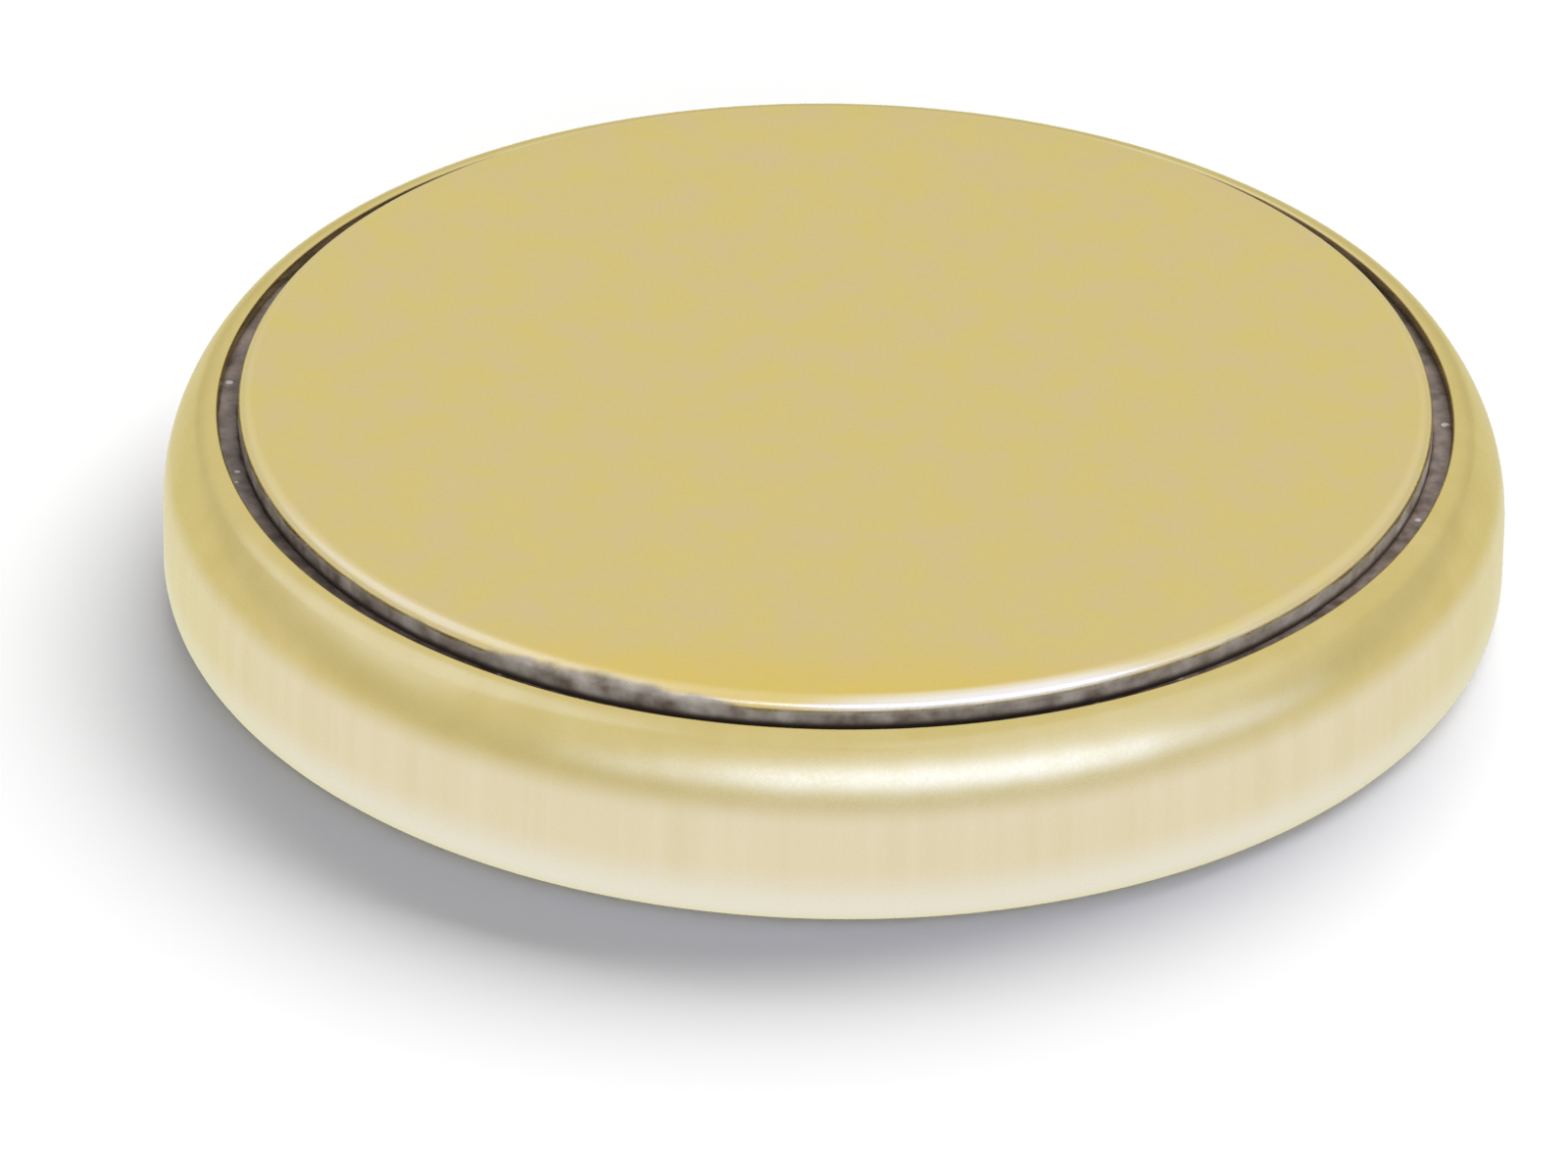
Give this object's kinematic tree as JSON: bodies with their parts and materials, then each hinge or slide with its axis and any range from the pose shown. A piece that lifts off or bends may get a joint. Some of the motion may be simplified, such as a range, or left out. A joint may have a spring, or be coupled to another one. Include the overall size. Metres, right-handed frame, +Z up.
{
  "type": "lithium coin cell",
  "caption": "Flat round battery cell: a cup-shaped positive can crimped over a sealing ring, with a slightly raised flat negative cap in the middle.",
  "frame": {"origin": "centre of the positive can's flat base, which the cell lies on", "axes": "+Z up the cell's axis, from the positive base towards the negative cap; X and Y are any two radii, because the cell is round"},
  "size_m": [0.02, 0.02, 0.0032],
  "materials": {
    "positive_can": "satin, thin gold-coloured plating",
    "negative_cap": "fine matte, thin gold-coloured plating",
    "gasket": "satin moulded plastic with sealant film",
    "lithium_anode": "dull rolled foil",
    "separator": "non-woven felt",
    "cathode_pellet": "matte pressed powder",
    "collector_ring": "bright rolled"
  },
  "bodies": {
    "root": {"positive_can": "positive_can", "negative_cap": "negative_cap", "gasket": "gasket", "lithium_anode": "lithium_anode", "separator": "separator", "cathode_pellet": "cathode_pellet", "collector_ring": "collector_ring"}
  },
  "joints": []
}
